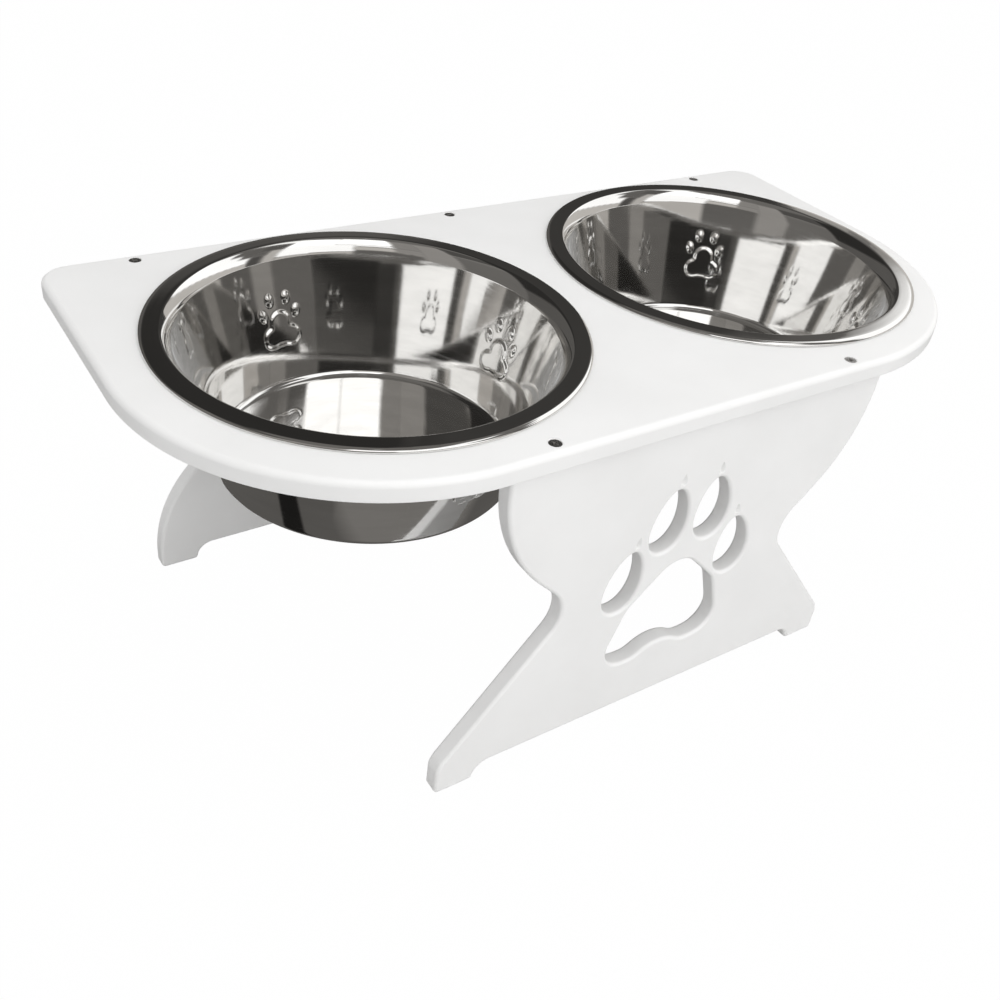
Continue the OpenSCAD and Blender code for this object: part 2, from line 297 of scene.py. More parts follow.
class Shell:
    """Collects vertices, faces and the normal at each face corner, in millimetres."""

    def __init__(self, place):
        self.place, self.verts, self.faces, self.normals = place, [], [], []

    def ring(self, points, w):
        """Adds a closed ring of 2-D points at height w, and returns its vertex numbers."""
        first = len(self.verts)
        self.verts += [(p[0], p[1], w) for p in points]
        return list(range(first, len(self.verts)))

    def face(self, corners, normals):
        self.faces.append(corners)
        self.normals += [tuple(n) for n in normals]

    def strip(self, a, b, normals_a, normals_b, flip=False):
        """Joins two rings of the same length with a band of faces."""
        n = len(a)
        for i in range(n):
            j = (i + 1) % n
            corners = [a[i], a[j], b[j], b[i]]
            normals = [normals_a[i], normals_a[j], normals_b[j], normals_b[i]]
            if flip:
                corners, normals = corners[::-1], normals[::-1]
            self.face(corners, normals)

    def cap(self, rings, up):
        """Fills the flat area between an outer ring and its holes."""
        index = [i for ring in rings for i in ring]
        flat = [Vector(self.verts[i][:2]) for i in index]
        edges, start = [], 0
        for ring in rings:
            n = len(ring)
            edges += [(start + k, start + (k + 1) % n) for k in range(n)]
            start += n
        points, _, tris, origin, _, _ = delaunay_2d_cdt(flat, edges, [], 1, TINY)
        origin = [index[o[0]] for o in origin]
        middles = np.array([np.mean([points[k] for k in tri], axis=0) for tri in tris])
        open_area = np.zeros(len(tris), bool)
        for hole in rings[1:]:
            open_area |= within(middles, np.array([self.verts[i][:2] for i in hole]))
        for tri, is_open in zip(tris, open_area):
            if is_open:
                continue
            a, b, c = (points[k] for k in tri)
            corners = [origin[k] for k in tri]
            if ((b - a).cross(c - a) > 0) != (up > 0):
                corners = corners[::-1]
            self.face(corners, [(0, 0, up)] * 3)

    def piece(self, name, material):
        verts = [(self.place @ Vector(v)) * MM for v in self.verts]
        mesh = smooth_mesh(name, verts, self.faces, material)
        turn = self.place.to_3x3()
        mesh.normals_split_custom_set([(turn @ Vector(n)).normalized() for n in self.normals])
        return in_scene(name, mesh)


def ring_normals(points, outward):
    """Unit normals of a closed outline that point away from the sheet's material."""
    ahead = np.roll(points, -1, 0) - points
    ahead /= np.linalg.norm(ahead, axis=1, keepdims=True)
    tangent = ahead + np.roll(ahead, 1, 0)
    tangent /= np.linalg.norm(tangent, axis=1, keepdims=True)
    side = np.c_[tangent[:, 1], -tangent[:, 0]] * math.copysign(1, area(points))
    return side * (1 if outward else -1)


def rounded_edge(low, high, steps=7):
    """Edge section of a sheet: (inset, height, normal angle before, normal angle after)."""
    out = []
    for a in np.linspace(-90, 0, steps):
        c, s = heading(a)
        out.append((low * (1 - c), low * (1 + s), a, a))
    for a in np.linspace(0, 90, steps):
        c, s = heading(a)
        out.append((high * (1 - c), SHEET - high * (1 - s), a, a))
    return out


def wall(shell, points, section, outward):
    """Runs an edge section round an outline. Returns the lowest and the highest ring."""
    n2 = ring_normals(points, outward)
    rings, before, after = [], [], []
    for inset, w, a0, a1 in section:
        rings.append(shell.ring(points - n2 * inset, w))
        for angle, keep in ((a0, before), (a1, after)):
            c, s = heading(angle)
            keep.append(np.c_[n2 * c, np.full(len(n2), s)])
    flip = (area(points) > 0) != outward
    for k in range(len(rings) - 1):
        shell.strip(rings[k], rings[k + 1], after[k], before[k + 1], flip)
    return rings[0], rings[-1]


def sheet_panel(name, outline, section, holes, place, material, carve=None):
    """A flat sheet with its own edge section and a list of (outline, section) holes."""
    shell = Shell(place)
    low, high = wall(shell, outline, section, True)
    lows, highs = [low], [high]
    for points, hole_section in holes:
        low, high = wall(shell, points, hole_section, False)
        lows.append(low)
        highs.append(high)
    if carve:
        highs += carve(shell)
    shell.cap(lows, -1)
    shell.cap(highs, 1)
    return shell.piece(name, material)


def claw_half(t):
    """Half width of a claw, at t from its round end to its point."""
    if t < CLAW_WIDEST:
        return CLAW_W / 2 * math.sqrt(max(1 - (1 - t / CLAW_WIDEST) ** 2, 0))
    return CLAW_W / 2 * (1 - ((t - CLAW_WIDEST) / (1 - CLAW_WIDEST)) ** CLAW_POINT)


def carved_claws(shell):
    """Shallow claws in the front face: round below, pointed above, with soft rims."""
    rings = []
    along, across = 18, 12
    for x, z, lean in TOES:
        rows = []
        for i in range(along + 1):
            wide = claw_half(i / along)
            v = TOE_H / 2 + CLAW_GAP + CLAW_LEN * i / along
            row = []
            for j in range(across + 1):
                q = 2 * j / across - 1
                deep = CLAW_DEPTH * wide / (CLAW_W / 2) * (1 - q * q) ** CLAW_SCOOP
                row.append((*leaned(x, z, lean, wide * q, v), SHEET - deep))
            rows.append(row)
        rings.append(claw_surface(shell, rows))
    return rings


def claw_surface(shell, rows):
    """Faces over a claw's rows of points, which meet at both ends. Returns the rim."""
    grid = np.array(rows)
    normal = np.cross(np.gradient(grid, axis=1), np.gradient(grid, axis=0))
    length = np.linalg.norm(normal, axis=2, keepdims=True)
    normal = np.where(length > TINY, normal / np.maximum(length, TINY), (0, 0, 1))
    n, m = grid.shape[:2]
    number = {}

    def vert(i, j):
        j = 0 if i in (0, n - 1) else j
        if (i, j) not in number:
            number[i, j] = len(shell.verts)
            shell.verts.append(tuple(grid[i, j]))
        return number[i, j]

    for i in range(n - 1):
        for j in range(m - 1):
            corners, normals = [], []
            for a, b in ((i, j), (i, j + 1), (i + 1, j + 1), (i + 1, j)):
                v = vert(a, b)
                if v not in corners:
                    corners.append(v)
                    normals.append(normal[a, b])
            shell.face(corners, normals)
    right = [vert(i, m - 1) for i in range(1, n)]
    left = [vert(i, 0) for i in range(n - 2, -1, -1)]
    return right + left


# Steel bowl


def eased(t):
    t = np.clip(t, 0, 1)
    return t * t * (3 - 2 * t)


def embossing(u, v):
    """Height of the embossed paw at points u along the wall and v below the rim."""
    height = np.zeros(u.shape)
    near = (np.abs(u) < PAW_HALF) & (v < PAW_TOP) & (v > PAW_LOW)
    u, v = u[near], v[near]
    lift = np.zeros(u.shape)
    for x, z, lean in PAW_TOES:
        c, s = heading(lean)
        across, along = (u - x) * c + (v - z) * s, (v - z) * c - (u - x) * s
        far = np.sqrt((across / TOE_WIDE) ** 2 + (along / TOE_TALL) ** 2)
        lift = np.maximum(lift, TOE_LIFT * eased(TOE_STEEP * (1 - far)))
    depth = [r - np.hypot(u - x, v - z) for x, z, r in PAW_PAD]
    pad = np.log(sum(np.exp(d / PAD_BLEND) for d in depth)) * PAD_BLEND
    height[near] = np.maximum(lift, PAD_LIFT * eased(0.5 + pad / PAD_SLOPE))
    return height


def bowl_skin(out, arc_steps, row):
    """Half section of one side of the drawn sheet, from the floor's middle to the mouth.

    It has a domed floor, a curve, a straight wall, a crease, a neck and a bend, with the rim's
    top at z = 0. The skin lies `out` millimetres outside the bowl's inner surface.
    """
    low, low_r = np.array([FLOOR_R, -BOWL_DEPTH + FLOOR_CURVE]), FLOOR_CURVE - STEEL
    mouth = np.array([MOUTH_R, -BEND_R])
    neck = mouth + (NECK_R - BEND_R) * heading(BEND - 90)
    run = neck + NECK_R * heading(180 - CREASE) - low
    lean = math.degrees(math.atan2(run[1], run[0]) - math.acos(low_r / np.linalg.norm(run)))
    r = np.linspace(FLOOR_MIDDLE, FLOOR_R, 25)[:-1]
    floor = np.c_[r, low[1] - low_r - out + FLOOR_DOME * (1 - (r / FLOOR_R) ** 2)]
    curve = arc(*low, low_r + out, -90, lean, arc_steps)
    slope = arc(*neck, NECK_R - out, 180 - CREASE, 90 + BEND, arc_steps)
    bend = arc(*mouth, BEND_R - out, 90 + BEND, 90, arc_steps // 2)
    rows = int(np.linalg.norm(slope[0] - curve[-1]) / row)
    t = np.linspace(0, 1, rows + 1)[1:-1, None]
    side = curve[-1] * (1 - t) + slope[0] * t
    return np.vstack([floor, curve, side, slope, bend[1:]])


def bowl_columns(paws):
    """Angles round the bowl, close together where a paw is embossed."""
    half = math.degrees(PAW_HALF / PAW_GIRTH)
    out = []
    for paw in sorted(p % 360 for p in paws):
        out += list(np.linspace(paw - half, paw + half, PAW_COLUMNS))
        out += list(np.linspace(paw + half, paw + PAW_TURN - half, PLAIN_COLUMNS)[1:-1])
    return np.radians(out)


def rim_edge():
    """Rolled rim from its underside, round the outer edge and up to the flat top."""
    drop = RIM_RISE - RIM_UNDER
    land = RIM_R - RIM_UNDER - RIM_LAND
    under = arc(RIM_R - RIM_UNDER, -drop, RIM_UNDER, -90, 0, count=7)
    a = np.radians(np.linspace(0, 90, 15)[1:])
    crown = np.c_[RIM_R - RIM_CROWN * (1 - np.cos(a)), -drop * (1 - np.sin(a))]
    flat = np.linspace(RIM_R - RIM_CROWN, MOUTH_R, 5)[1:-1]
    return np.vstack([
        [[land, -STEEL], [land, -RIM_RISE]], under, crown, np.c_[flat, np.zeros(len(flat))]])


def bowl(name, x, paws, material):
    """Lathed bowl with embossed paws; its own origin is on its axis at the rim's top."""
    inside, outside = bowl_skin(0, *INSIDE_MESH), bowl_skin(STEEL, *OUTSIDE_MESH)
    profile = np.vstack([outside, rim_edge(), inside[::-1]])
    angles = bowl_columns(paws)
    columns = np.repeat(profile[None], len(angles), 0)
    side = (profile[:, 1] < PAW_TOP) & (profile[:, 1] > PAW_LOW) & (profile[:, 0] > FLOOR_R)
    v = np.repeat(profile[None, side, 1], len(angles), 0)
    for paw in paws:
        off = (np.degrees(angles) - paw + 180) % 360 - 180
        u = -np.radians(off)[:, None] * PAW_GIRTH * np.ones(side.sum())
        columns[:, side, 0] -= embossing(u, v)
    n, m = columns.shape[:2]
    verts = np.empty((n, m, 3))
    verts[..., 0] = columns[..., 0] * np.cos(angles)[:, None]
    verts[..., 1] = columns[..., 0] * np.sin(angles)[:, None]
    verts[..., 2] = columns[..., 1]
    number = np.arange(n * m).reshape(n, m)
    faces = []
    for j in range(m - 1):
        a, b = number[:, j], number[:, j + 1]
        faces += np.c_[a, np.roll(a, -1), np.roll(b, -1), b].tolist()
    faces.append(number[::-1, 0].tolist())
    faces.append(number[:, -1].tolist())
    mesh = smooth_mesh(name, (verts.reshape(-1, 3) * MM).tolist(), faces, material)
    mesh.set_sharp_from_angle(angle=math.radians(BOWL_SHARP))
    obj = in_scene(name, mesh)
    obj.location = Vector((x, BOWL_Y, TOP_Z + RIM_RISE)) * MM
    return obj


# Screws


def cross_outline(span, width):
    """Cross recess of a screw head, with small rounds in its inner corners."""
    s, w = span / 2, width / 2
    end, tip, r = 0.8 * w, 0.4 * w, 0.3 * width
    arm = np.vstack([
        [[s - w / 2, -end], [s, -tip], [s, tip], [s - w / 2, end]],
        arc(w + r, w + r, r, 270, 180, count=5)])
    turned = []
    for k in range(4):
        c, s = heading(90 * k)
        turned.append(arm @ np.array([[c, s], [-s, c]]))
    return np.vstack(turned)


def screw(name, x, y, angle, material):
    """Countersunk screw with a tapered cross recess and a cut thread."""
    turn = Matrix.Rotation(math.radians(angle), 4, "Z")
    shell = Shell(Matrix.Translation((x, y, TOP_Z - HEAD_SINK)) @ turn)
    count = 40
    head_h = (SCREW_HEAD - SCREW_D) / 2
    around = circle(0, 0, 1, count)
    theta = np.arctan2(around[:, 1], around[:, 0])
    face_n = np.repeat([[0, 0, 1.0]], count, 0)
    lip_n = np.c_[around * LIP_NORMAL[0], np.full(count, LIP_NORMAL[1])]
    cone_n = np.c_[around, np.full(count, -1.0)]
    shank_n = np.c_[around, np.zeros(count)]

    face = shell.ring(around * (SCREW_HEAD / 2 - LIP_IN), 0.0)
    lip = shell.ring(around * (SCREW_HEAD / 2), -LIP_DROP)
    shell.strip(lip, face, lip_n, face_n)
    last = shell.ring(around * (SCREW_D / 2), -head_h)
    shell.strip(last, lip, cone_n, cone_n)

    for z in np.arange(-head_h - THREAD_STEP, -SCREW_LEN + TIP_GAP, -THREAD_STEP):
        phase = (z / THREAD_PITCH - theta / (2 * math.pi)) % 1.0
        crest = np.clip(1 - np.abs(phase - 0.5) / CREST_HALF, 0, 1)
        taper = min(1.0, (z + SCREW_LEN) / TIP_LEN + TIP_BLUNT)
        started = min(1.0, (-head_h - z) / THREAD_START)
        r = (SCREW_D / 2 - THREAD_DEPTH + THREAD_DEPTH * (crest * started + 1 - started)) * taper
        ring = shell.ring(around * r[:, None], z)
        shell.strip(ring, last, shank_n, shank_n)
        last = ring
    tip = len(shell.verts)
    shell.verts.append((0, 0, -SCREW_LEN))
    for i in range(count):
        shell.face([last[(i + 1) % count], last[i], tip], [(0, 0, -1)] * 3)

    mouth = cross_outline(*CROSS_MOUTH)
    recess = shell.ring(mouth, 0.0)
    deep = shell.ring(cross_outline(*CROSS_FLOOR), -CROSS_DEPTH)
    shell.cap([face, recess], 1)
    normals = np.c_[-ring_normals(mouth, True), np.full(len(recess), CROSS_TILT)]
    shell.strip(deep, recess, normals, normals, True)
    shell.cap([deep], 1)
    return shell.piece(name, material)


# Materials

# Darker and lighter tone of each material
PLASTIC_TONES = (0.850, 0.847, 0.839, 1), (0.880, 0.877, 0.870, 1)
STEEL_TONES = (0.80, 0.795, 0.785, 1), (0.86, 0.855, 0.845, 1)
SCREW_TONES = (0.36, 0.355, 0.345, 1), (0.60, 0.59, 0.58, 1)
PLASTIC_ROUGH, STEEL_ROUGH, SCREW_ROUGH = (0.36, 0.48), (0.03, 0.08), (0.22, 0.42)
SCRATCH_ROUGH, SCRATCH_WIDTH = 0.2, 0.006
LINE_HEIGHT = 0.02

# Range that most of a noise keeps to, for tones and for roughness
TONE_NOISE, ROUGH_NOISE = (0.35, 0.65), (0.3, 0.7)

# Painted glow: steel seen after more than this many mirrorings from wall to wall inside a bowl glows
# at this level, in place of the light left after them
MANY_MIRRORS, DEEP_PAINTED_GLOW = 3.5, 0.25


def add(tree, kind, **values):
    """Adds a node; keys that are inputs set the sockets, other keys set the node's own values."""
    node = tree.nodes.new(kind)
    for key, value in values.items():
        if hasattr(node, key):
            setattr(node, key, value)
        else:
            node.inputs[key].default_value = value
    return node


def new_group(name, inputs, outputs):
    group = bpy.data.node_groups.new(name, "ShaderNodeTree")
    for socket, kind, value in inputs:
        made = group.interface.new_socket(socket, in_out="INPUT", socket_type=kind)
        made.default_value = value
    for socket in outputs:
        group.interface.new_socket(socket, in_out="OUTPUT", socket_type="NodeSocketFloat")
    return group, add(group, "NodeGroupInput"), add(group, "NodeGroupOutput")


def math_node(tree, operation, a, b=None):
    node = add(tree, "ShaderNodeMath", operation=operation)
    for k, value in enumerate((a, b)):
        if value is None:
            continue
        if isinstance(value, (int, float)):
            node.inputs[k].default_value = value
        else:
            tree.links.new(value, node.inputs[k])
    return node.outputs[0]


def remap(tree, value, span, out_span):
    """Maps a value from one range to another."""
    node = add(tree, "ShaderNodeMapRange")
    tree.links.new(value, node.inputs["Value"])
    for socket, number in zip(("From Min", "From Max", "To Min", "To Max"), (*span, *out_span)):
        node.inputs[socket].default_value = number
    return node.outputs["Result"]


def surface_grain():
    """Fine grain and soft mottling as values round one half, and fine scratches from 0 to 1."""
    group, source, sink = new_group(
        "surface_grain",
        [("Vector", "NodeSocketVector", (0, 0, 0)), ("Grain Scale", "NodeSocketFloat", 1500.0),
         ("Mottle Scale", "NodeSocketFloat", 14.0)],
        ("Grain", "Mottle", "Scratch"))
    link = group.links.new
    grain = add(group, "ShaderNodeTexNoise", Detail=3.0)
    mottle = add(group, "ShaderNodeTexNoise", Detail=4.0)
    for node, socket in ((grain, "Grain Scale"), (mottle, "Mottle Scale")):
        link(source.outputs["Vector"], node.inputs["Vector"])
        link(source.outputs[socket], node.inputs["Scale"])
    wave = add(group, "ShaderNodeTexNoise", Scale=9.0, Detail=1.0)
    link(source.outputs["Vector"], wave.inputs["Vector"])
    shift = add(group, "ShaderNodeVectorMath")
    link(source.outputs["Vector"], shift.inputs[0])
    link(wave.outputs["Color"], shift.inputs[1])
    cells = add(group, "ShaderNodeTexVoronoi", feature="DISTANCE_TO_EDGE", Scale=34.0, Randomness=1.0)
    link(shift.outputs[0], cells.inputs["Vector"])
    line = remap(group, cells.outputs["Distance"], (0.0, SCRATCH_WIDTH), (1.0, 0.0))
    worn = remap(group, mottle.outputs[0], (0.52, 0.62), (0.0, 1.0))
    link(grain.outputs[0], sink.inputs["Grain"])
    link(mottle.outputs[0], sink.inputs["Mottle"])
    link(math_node(group, "MULTIPLY", line, worn), sink.inputs["Scratch"])
    return group


def polish_lines():
    """Fine lines that run round an axis, from polishing on a lathe."""
    group, source, sink = new_group(
        "polish_lines",
        [("Vector", "NodeSocketVector", (0, 0, 0)), ("Fineness", "NodeSocketFloat", 900.0),
         ("Wander", "NodeSocketFloat", 2.0)],
        ("Lines", "Bands"))
    link = group.links.new
    part = add(group, "ShaderNodeSeparateXYZ")
    link(source.outputs["Vector"], part.inputs[0])
    x, y, z = part.outputs
    squares = [math_node(group, "MULTIPLY", side, side) for side in (x, y)]
    radius = math_node(group, "SQRT", math_node(group, "ADD", *squares))
    safe = math_node(group, "MAXIMUM", radius, 1e-4)
    east, north = (
        math_node(group, "MULTIPLY", math_node(group, "DIVIDE", side, safe), source.outputs["Wander"])
        for side in (x, y))
    for name, factor in (("Lines", 1.0), ("Bands", 0.12)):
        fine = math_node(group, "MULTIPLY", source.outputs["Fineness"], factor)
        join = add(group, "ShaderNodeCombineXYZ")
        link(math_node(group, "MULTIPLY", radius, fine), join.inputs[0])
        link(math_node(group, "MULTIPLY", z, fine), join.inputs[1])
        link(east, join.inputs[2])
        noise = add(group, "ShaderNodeTexNoise", noise_dimensions="4D", Scale=1.0, Detail=3.0)
        link(join.outputs[0], noise.inputs["Vector"])
        link(north, noise.inputs["W"])
        link(noise.outputs[0], sink.inputs[name])
    return group


def new_material(name):
    material = bpy.data.materials.new(name)
    material.use_nodes = True
    tree = material.node_tree
    return material, tree, tree.nodes["Principled BSDF"]


def patterns(tree, *groups):
    """Adds pattern groups that are laid out in the piece's own coordinates."""
    place = add(tree, "ShaderNodeTexCoord")
    nodes = [add(tree, "ShaderNodeGroup", node_tree=group) for group in groups]
    for node in nodes:
        tree.links.new(place.outputs["Object"], node.inputs["Vector"])
    return nodes


def two_tone(tree, shader, noise, tones):
    """Base colour that goes from one tone to the other with a noise."""
    tone = add(tree, "ShaderNodeMix", data_type="RGBA")
    tone.inputs["A"].default_value, tone.inputs["B"].default_value = tones
    tree.links.new(remap(tree, noise, TONE_NOISE, (0, 1)), tone.inputs["Factor"])
    tree.links.new(tone.outputs["Result"], shader.inputs["Base Color"])


def bumps(tree, shader, height, strength, distance):
    bump = add(tree, "ShaderNodeBump", Strength=strength, Distance=distance)
    tree.links.new(height, bump.inputs["Height"])
    tree.links.new(bump.outputs["Normal"], shader.inputs["Normal"])


def sheet_plastic(grain):
    """White satin polyethylene sheet with a fine pebble grain."""
    material, tree, shader = new_material("white_sheet_plastic")
    skin, = patterns(tree, grain)
    two_tone(tree, shader, skin.outputs["Mottle"], PLASTIC_TONES)
    rough = remap(tree, skin.outputs["Grain"], ROUGH_NOISE, PLASTIC_ROUGH)
    tree.links.new(rough, shader.inputs["Roughness"])
    bumps(tree, shader, skin.outputs["Grain"], strength=0.06, distance=0.0002)
    shader.inputs["IOR"].default_value = 1.5
    return material


def drawn_steel(grain, lines):
    """Polished stainless sheet with fine turned lines, faint scratches, a slight ripple and a painted
    glow after many mirrorings.
    """
    material, tree, shader = new_material("polished_bowl_steel")
    skin, turned = patterns(tree, grain, lines)
    shader.inputs["Metallic"].default_value = 1.0
    two_tone(tree, shader, turned.outputs["Bands"], STEEL_TONES)
    rough = remap(tree, turned.outputs["Lines"], ROUGH_NOISE, STEEL_ROUGH)
    scratch = math_node(tree, "MULTIPLY", skin.outputs["Scratch"], SCRATCH_ROUGH)
    tree.links.new(math_node(tree, "ADD", rough, scratch), shader.inputs["Roughness"])
    fine = math_node(tree, "MULTIPLY", turned.outputs["Lines"], LINE_HEIGHT)
    height = math_node(tree, "ADD", fine, skin.outputs["Mottle"])
    bumps(tree, shader, height, strength=0.15, distance=0.0006)
    # Painted glow: steel seen after many mirrorings glows faintly, standing in for the light of
    # further bounces
    path = add(tree, "ShaderNodeLightPath")
    deep = math_node(tree, "GREATER_THAN", path.outputs["Glossy Depth"], MANY_MIRRORS)
    tree.links.new(math_node(tree, "MULTIPLY", deep, DEEP_PAINTED_GLOW), shader.inputs["Emission Color"])
    shader.inputs["Emission Strength"].default_value = 1.0
    return material


def screw_metal(grain):
    """Plain stainless screw, darker and duller than the bowls."""
    material, tree, shader = new_material("screw_head_steel")
    skin, = patterns(tree, grain)
    shader.inputs["Metallic"].default_value = 1.0
    two_tone(tree, shader, skin.outputs["Grain"], SCREW_TONES)
    rough = remap(tree, skin.outputs["Grain"], ROUGH_NOISE, SCREW_ROUGH)
    tree.links.new(rough, shader.inputs["Roughness"])
    return material


# Stage, in metres and degrees

FLOOR_HALF, FLOOR_GLOW, FLOOR_TONE = 9.0, 0.992, (0.7, 0.7, 0.7, 1)
WHITE = (1, 1, 1, 1)
SKY_LEVEL = 0.78

# Lamps: azimuth, elevation, distance, width, height and brightness
LAMPS = {
    "window_high": (-85, 74, 2.4, 2.2, 1.1, 1.75),
    "window_low": (-78, 14, 2.6, 1.6, 0.9, 2.45),
}
LAMP_POWER = 4

ROOM_R, ROOM_MIDDLE = 3.2, 0.25
# Soft edge of the room's parts and the longest steps across and up them
ROOM_EDGE, ROOM_ACROSS, ROOM_UP = 4.0, 6, 5
# Parts brighter than this have a window's tone, the others a wall's
WINDOW_LEVEL = 0.8
WINDOW_TONE, WALL_TONE = (1.0, 0.995, 0.985, 1), (1.0, 0.955, 0.90, 1)
# Parts of the room that the steel mirrors: azimuths, elevations, brightness and relative distance
ROOM = (
    ("walls", -180, 180, -2, 66, 0.22, 1.06),
    ("ceiling", -180, 180, 62, 90, 0.15, 1.04),
    ("front_light", -134, -94, 46, 66, 1.5, 1),
    ("front_light_right", -94, -58, 44, 65, 1.5, 1),
    ("front_right_top", -58, -4, 58, 70, 1.2, 1),
    ("front_window", -108, -58, 18, 45, 1.2, 1),
    ("front_foot", -108, -58, -2, 18, 0.5, 1),
    ("front_left_window", -134, -108, 38, 46, 1.1, 1),
    ("front_left_wall", -134, -108, 26, 38, 0.55, 1),
    ("front_left_low", -150, -108, -2, 24, 0.13, 1),
    ("left_light", -152, -134, 40, 64, 0.26, 1),
    ("left_edge", -152, -134, 22, 40, 0.28, 1),
    ("left_wall", 184, 208, -2, 62, 0.29, 1),
    ("front_right_wall", -58, -49, -2, 44, 0.5, 1),
    ("front_right_upper", -58, -38, 43, 57, 0.1, 0.99),
    ("pillar", -47, -38, -2, 32, 0.08, 0.99),
    ("pillar_top", -49, -27, 32, 43, 0.13, 0.99),
    ("beam_side", -40, -16, 40, 54, 0.13, 0.99),
    ("beam", -26, 10, 50, 60, 0.14, 0.99),
    ("right_window", -37, 29, 18, 50, 1.2, 1),
    ("right_edge", 29, 38, 18, 50, 0.1, 1),
    ("right_low", -38, 40, -2, 18, 0.55, 1),
    ("right_ceiling", 8, 60, 50, 66, 0.15, 1),
    ("back_right_wall", 36, 62, -2, 60, 0.045, 1),
    ("back_low", 60, 138, -2, 26, 0.1, 1),
    ("back_wall", 60, 138, 25, 62, 0.028, 0.99),
    ("back_left_wall", 138, 184, -2, 46, 0.15, 1),
    ("back_left_upper", 138, 184, 46, 64, 0.08, 1),
)

# Floor patches: two corners, height, brightness and width of the soft edge
FLOOR_SHADES = (
    ("shade", -1.6, -1.6, 1.6, 1.6, 0.0004, 0.10, 0.1),
    ("front", -0.30, -0.70, 0.30, -0.13, 0.0008, 0.18, 0.03),
    ("dark_strip", -0.45, -0.056, -0.27, -0.008, 0.0012, 0.012, 0.006),
)
SHADE_STEP = 0.5


def seen_directly(tree):
    """1 for rays from the camera and from mirroring or clear surfaces, 0 for scattered light."""
    path = add(tree, "ShaderNodeLightPath")
    seen = math_node(tree, "MAXIMUM", path.outputs["Is Camera Ray"], path.outputs["Is Glossy Ray"])
    return math_node(tree, "MAXIMUM", seen, path.outputs["Is Transmission Ray"])


def glow_mix(name, glow_level, glow_tone, under, factor):
    """Material that mixes a glow over another shader node, as much as factor gives."""
    material, tree, shader = new_material(name)
    tree.nodes.remove(shader)
    link = tree.links.new
    mix = add(tree, "ShaderNodeMixShader")
    glow = add(tree, "ShaderNodeEmission", Color=glow_tone, Strength=glow_level)
    link(factor(tree), mix.inputs[0])
    link(under(tree).outputs[0], mix.inputs[1])
    link(glow.outputs[0], mix.inputs[2])
    link(mix.outputs[0], tree.nodes["Material Output"].inputs["Surface"])
    return material


def studio_floor():
    """Floor that glows white to the camera and the metal, with a trace of the stand's shadow."""
    s = FLOOR_HALF
    material = glow_mix(
        "white_floor", 1.0, WHITE,
        lambda tree: add(tree, "ShaderNodeBsdfDiffuse", Color=FLOOR_TONE),
        lambda tree: math_node(tree, "MULTIPLY", seen_directly(tree), FLOOR_GLOW))
    corners = [(-s, -s, 0), (s, -s, 0), (s, s, 0), (-s, s, 0)]
    floor = in_scene("floor", smooth_mesh("floor", corners, [(0, 1, 2, 3)], material))


def glow_sheet(name, verts, across, cover, level):
    """Sheet of light that only the metal mirrors.

    Its points are rows of `across`, and `cover` says how much each of them hides what is behind.
    """
    rows = len(verts) // across
    faces = [(i * across + j, i * across + j + 1, (i + 1) * across + j + 1, (i + 1) * across + j)
             for i in range(rows - 1) for j in range(across - 1)]
    material = glow_mix(
        name, level, WINDOW_TONE if level > WINDOW_LEVEL else WALL_TONE,
        lambda tree: add(tree, "ShaderNodeBsdfTransparent"),
        lambda tree: add(tree, "ShaderNodeAttribute", attribute_name="cover").outputs["Fac"])
    mesh = smooth_mesh(name, verts, faces, material)
    mesh.attributes.new("cover", "FLOAT", "POINT").data.foreach_set("value", cover)
    sheet = in_scene(name, mesh)
    sheet.visible_camera = sheet.visible_diffuse = sheet.visible_shadow = False
    sheet.visible_transmission = False


def faded(low, high, edge, step):
    """Stations from low to high with a soft edge at both ends, and the cover at each."""
    inner = np.linspace(low + edge / 2, high - edge / 2, max(2, int((high - low) / step)))
    return np.r_[low - edge / 2, inner, high + edge / 2], np.r_[0.0, np.ones(len(inner)), 0.0]


def skyward(azimuth, elevation):
    """Unit vector towards a direction given in degrees."""
    (east, north), (level, up) = heading(azimuth), heading(elevation)
    return Vector((level * east, level * north, up))


def room_panels():
    """Curved panels far round the stand: the walls, windows and ceiling that the steel mirrors."""
    middle = Vector((0, 0, ROOM_MIDDLE))
    for name, a0, a1, e0, e1, level, far in ROOM:
        a, a_cover = faded(a0, a1, ROOM_EDGE, ROOM_ACROSS)
        e, e_cover = faded(e0, e1, ROOM_EDGE, ROOM_UP)
        if a1 - a0 == 360:
            a_cover[:] = 1.0
        e = np.minimum(e, 90.0)
        verts = [middle + ROOM_R * far * skyward(p, q) for p in a for q in e]
        glow_sheet("room_" + name, verts, len(e), np.outer(a_cover, e_cover).ravel(), level)


def floor_shade():
    """Shaded patches on the floor under the stand that the bowls' outsides mirror."""
    for name, x0, y0, x1, y1, z, level, edge in FLOOR_SHADES:
        x, x_cover = faded(x0, x1, edge, SHADE_STEP)
        y, y_cover = faded(y0, y1, edge, SHADE_STEP)
        verts = [(p, q, z) for p in x for q in y]
        glow_sheet("floor_" + name, verts, len(y), np.outer(x_cover, y_cover).ravel(), level)


def window_lamp(name, azimuth, elevation, distance, width, height, radiance):
    lamp = bpy.data.lights.new(name, "AREA")
    lamp.shape = "RECTANGLE"
    lamp.size, lamp.size_y = width, height
    lamp.energy = radiance * LAMP_POWER * width * height
    obj = in_scene(name, lamp)
    towards = skyward(azimuth, elevation)
    obj.location = towards * distance + Vector((0, 0, ROOM_MIDDLE))
    obj.rotation_euler = towards.to_track_quat("Z", "Y").to_euler()
    obj.visible_glossy = False


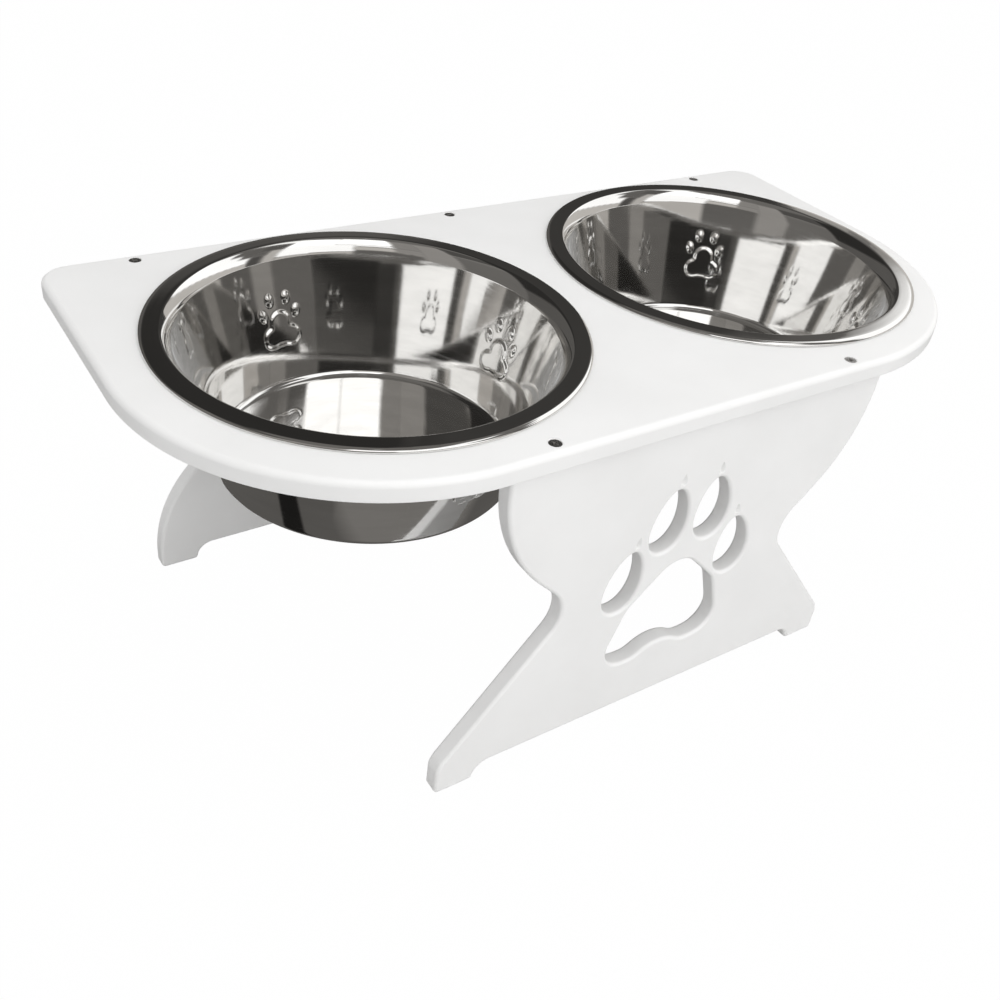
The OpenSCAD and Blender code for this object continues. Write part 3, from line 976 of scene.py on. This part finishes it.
def lighting():
    world = bpy.data.worlds.new("studio")
    bpy.context.scene.world = world
    world.use_nodes = True
    tree = world.node_tree
    sky = tree.nodes["Background"]
    level = remap(tree, seen_directly(tree), (0, 1), (SKY_LEVEL, 1.0))
    tree.links.new(level, sky.inputs["Strength"])
    sky.inputs["Color"].default_value = WHITE
    for name, lamp in LAMPS.items():
        window_lamp(name, *lamp)


# Camera at the photograph's place

CAMERA_AT = Vector((-0.42242, -0.50922, 0.57220))
YAW, PITCH, ROLL = 37.334, 36.723, 7.609
LENS, SENSOR = 38.4865, 36.0
SHIFT_X, SHIFT_Y = 0.0004, -0.0002
CLIP_NEAR, CLIP_FAR = 0.01, 100.0


def photo_camera():
    camera = bpy.data.cameras.new("camera")
    camera.sensor_width, camera.sensor_fit = SENSOR, "HORIZONTAL"
    camera.lens = LENS
    camera.shift_x, camera.shift_y = SHIFT_X, SHIFT_Y
    camera.clip_start, camera.clip_end = CLIP_NEAR, CLIP_FAR
    ahead = skyward(90 - YAW, -PITCH)
    right = skyward(-YAW, 0)
    up = right.cross(ahead)
    c, s = heading(ROLL)
    turn = Matrix((right * c + up * s, up * c - right * s, -ahead)).transposed().to_4x4()
    obj = in_scene("camera", camera)
    obj.matrix_world = Matrix.Translation(CAMERA_AT) @ turn
    bpy.context.scene.camera = obj


# Assembly


def upright(back_y):
    """Turns a sheet drawn flat into an upright panel whose upper face looks to the front."""
    return Matrix(((1, 0, 0, ROW_X), (0, 0, -1, back_y), (0, 1, 0, 0), (0, 0, 0, 1)))


def screw_hole():
    """Section of a countersunk clearance hole, as insets from its shank circle."""
    deep = SHEET - HEAD_SINK
    head = (SCREW_HEAD - SCREW_D) / 2
    wide = head - HOLE_BREAK
    return [(0, 0, 0, 0), (0, deep - wide, 0, 45), (wide, deep, 45, 0),
            (wide, SHEET - HOLE_BREAK, 0, 30), (head, SHEET, 60, 90)]


def top_holes():
    """Outline and section of each hole in the top: two for bowls and five for screws."""
    edge = rounded_edge(HOLE_UNDER_ROUND, HOLE_TOP_ROUND, steps=4)
    holes = [(circle(x, BOWL_Y, HOLE_R, count=160), edge) for x, _ in BOWLS.values()]
    for x, y, _ in SCREWS.values():
        holes.append((circle(x, y, SCREW_D / 2 + SCREW_CLEAR, count=40), screw_hole()))
    return holes


def build():
    grain, lines = surface_grain(), polish_lines()
    plastic, steel, screw_steel = sheet_plastic(grain), drawn_steel(grain, lines), screw_metal(grain)

    edge = rounded_edge(UNDER_ROUND, TOP_ROUND, steps=9)
    top = sheet_panel("top_sheet", top_outline(), edge, top_holes(),
                      Matrix.Translation((0, 0, LEG_H)), plastic)

    edge = rounded_edge(LEG_ROUND, LEG_ROUND)
    front_side = panel_side(FRONT_SHOULDER, FRONT_FOOT)
    front_side = np.c_[front_side[:, 0], LEG_H - front_side[:, 1]][::-1]
    paw = [(toe_outline(*toe), edge) for toe in TOES] + [(pad_outline(), edge)]
    front = sheet_panel("front_leg_sheet", leg_outline(front_side, FRONT_FOOT), edge, paw,
                        upright(FRONT_BACK_Y), plastic, carved_claws)
    rear_side = panel_side(REAR_FOOT, REAR_END)
    rear = sheet_panel("rear_leg_sheet", leg_outline(rear_side, REAR_FOOT), edge, [],
                       upright(REAR_BACK_Y), plastic)
    for piece, node in ((top, "top_panel"), (front, "front_leg_panel"), (rear, "rear_leg_panel")):
        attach(piece, "stand")
        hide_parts(node)

    for node, (x, y, angle) in SCREWS.items():
        piece = screw(node + "_steel", x, y, angle, screw_steel)
        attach(piece, "stand")
        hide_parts(node)

    for node, (x, first) in BOWLS.items():
        piece = bowl(node + "_steel", x, [first + PAW_TURN * k for k in range(PAWS)], steel)
        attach(piece, node)
        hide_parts(node)


photo_camera()
studio_floor()
room_panels()
floor_shade()
lighting()
build()
bpy.context.scene.view_settings.view_transform = "Standard"
